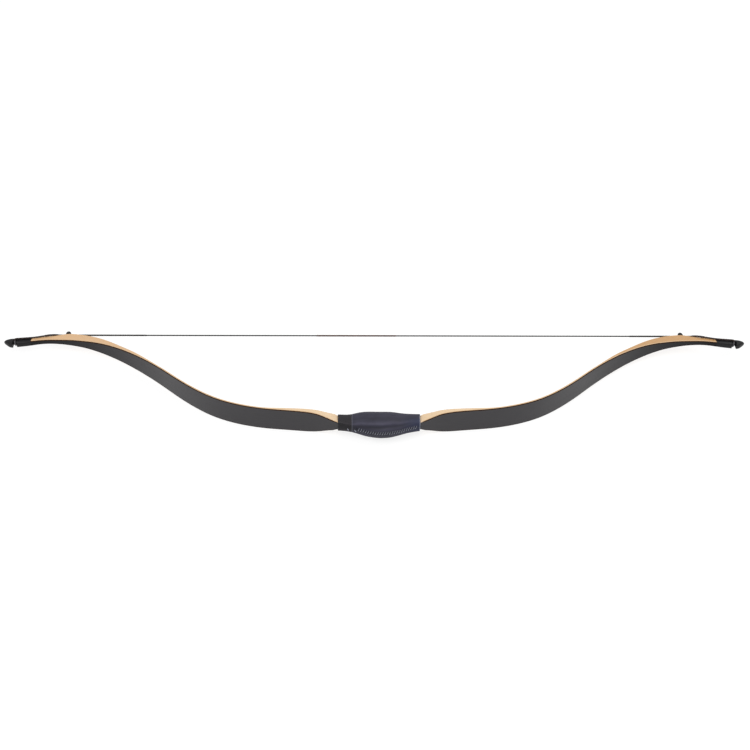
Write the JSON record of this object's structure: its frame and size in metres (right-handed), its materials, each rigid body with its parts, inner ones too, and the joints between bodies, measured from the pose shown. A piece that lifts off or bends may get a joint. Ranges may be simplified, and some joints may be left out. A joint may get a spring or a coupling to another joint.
{
  "type": "recurve bow",
  "caption": "Strung laminated horsebow with recurved stiff tips, black back, maple belly, string bridges, laced leather grip and served bowstring.",
  "frame": {"origin": "the throat of the grip: the deepest point of the leather's belly side, in the middle of the bow's length and width", "axes": "+X along the bow towards the lower limb, +Y from the back of the bow towards the string, +Z across the width of the limbs"},
  "size_m": [1.18, 0.2229, 0.0426],
  "materials": {
    "core_maple": "satin",
    "wedge_maple": "satin",
    "black_fibreglass": "satin",
    "clear_fibreglass": "satin",
    "black_tip": "satin",
    "navy_leather": "grained",
    "dark_leather": "grained",
    "lacing_thread": "waxed",
    "swell_filler": "matte",
    "string_fibre": "waxed",
    "black_serving": "waxed",
    "brown_serving": "waxed"
  },
  "bodies": {
    "handle": {"riser_wedge": "wedge_maple", "handle_core": "core_maple", "handle_back_glass": "black_fibreglass", "handle_belly_glass": "clear_fibreglass", "palm_swell": "swell_filler", "grip_leather": "navy_leather", "arrow_pass_band": "dark_leather", "grip_lacing": "lacing_thread"},
    "upper_limb": {"upper_limb_core": "core_maple", "upper_back_glass": "black_fibreglass", "upper_belly_glass": "clear_fibreglass", "upper_siyah_wedge": "wedge_maple", "upper_nock_tip": "black_tip", "upper_string_bridge": "black_tip"},
    "lower_limb": {"lower_limb_core": "core_maple", "lower_back_glass": "black_fibreglass", "lower_belly_glass": "clear_fibreglass", "lower_siyah_wedge": "wedge_maple", "lower_nock_tip": "black_tip", "lower_string_bridge": "black_tip"},
    "upper_loop": {"upper_end_loop": "black_serving"},
    "upper_string": {"upper_strands": "string_fibre", "upper_end_serving": "black_serving", "upper_centre_serving": "brown_serving"},
    "lower_loop": {"lower_end_loop": "black_serving"},
    "lower_string": {"lower_strands": "string_fibre", "lower_end_serving": "black_serving", "lower_centre_serving": "brown_serving"}
  },
  "joints": [
    {"name": "upper_limb_flex", "type": "hinge", "parent": "handle", "child": "upper_limb", "pos_m": [-0.1847, -0.00378, 0], "axis": [0, 0, -1], "range_deg": [0, 27.5], "stiffness_Nm_per_rad": 170, "deforming": ["upper_strands", "upper_end_serving", "upper_centre_serving", "lower_strands", "lower_end_serving", "lower_centre_serving"]},
    {"name": "lower_limb_flex", "type": "hinge", "parent": "handle", "child": "lower_limb", "pos_m": [0.1847, -0.00378, 0], "axis": [0, 0, 1], "range_deg": [0, 27.5], "stiffness_Nm_per_rad": 170},
    {"name": "upper_loop_turn", "type": "hinge", "parent": "upper_limb", "child": "upper_loop", "pos_m": [-0.573, 0.15614, 0], "axis": [0, 0, 1], "range_deg": [0, 56.07]},
    {"name": "lower_loop_turn", "type": "hinge", "parent": "lower_limb", "child": "lower_loop", "pos_m": [0.573, 0.15614, 0], "axis": [0, 0, -1], "range_deg": [0, 49.13]},
    {"name": "upper_string_lift", "type": "hinge", "parent": "upper_loop", "child": "upper_string", "pos_m": [-0.4895, 0.17495, 0], "axis": [0, 0, 1], "range_deg": [0, 12.7]},
    {"name": "lower_string_lift", "type": "hinge", "parent": "lower_loop", "child": "lower_string", "pos_m": [0.4895, 0.17495, 0], "axis": [0, 0, -1], "range_deg": [0, 12.7]}
  ],
  "couplings": [
    {"joint": "lower_limb_flex", "follows": "upper_limb_flex", "ratio": 1},
    {"joint": "upper_loop_turn", "follows": "upper_limb_flex", "ratio": 2.0389},
    {"joint": "lower_loop_turn", "follows": "upper_limb_flex", "ratio": 1.7863},
    {"joint": "upper_string_lift", "follows": "upper_limb_flex", "ratio": 0.46172},
    {"joint": "lower_string_lift", "follows": "upper_limb_flex", "ratio": 0.46172}
  ]
}
